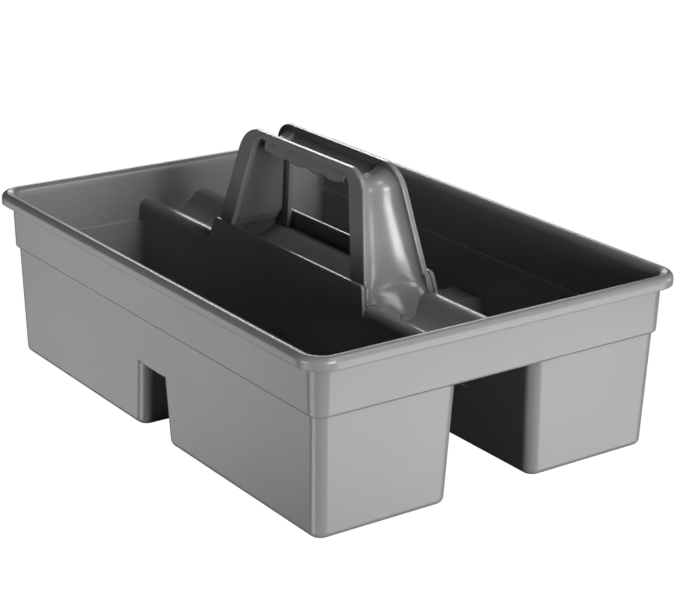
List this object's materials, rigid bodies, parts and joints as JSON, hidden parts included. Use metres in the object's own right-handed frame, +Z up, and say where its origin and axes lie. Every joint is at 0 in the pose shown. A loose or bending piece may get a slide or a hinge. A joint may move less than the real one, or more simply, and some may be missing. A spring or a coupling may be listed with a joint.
{
  "type": "tool storage caddy",
  "caption": "Open two-bin carrying caddy with a rolled rim, feet split by under-channels, a troughed divider and an arched carrying handle with a finger grip.",
  "frame": {"origin": "centre of the footprint, on the plane that the four feet stand on", "axes": "+X along the divider and the grip, -Y towards the front long side, +Z up"},
  "size_m": [0.4, 0.2858, 0.1776],
  "materials": {
    "tray_plastic": "satin moulded mid grey",
    "handle_plastic": "satin moulded mid grey, a little glossier on the grip"
  },
  "bodies": {
    "root": {"tray": "tray_plastic", "handle": "handle_plastic"}
  },
  "joints": []
}
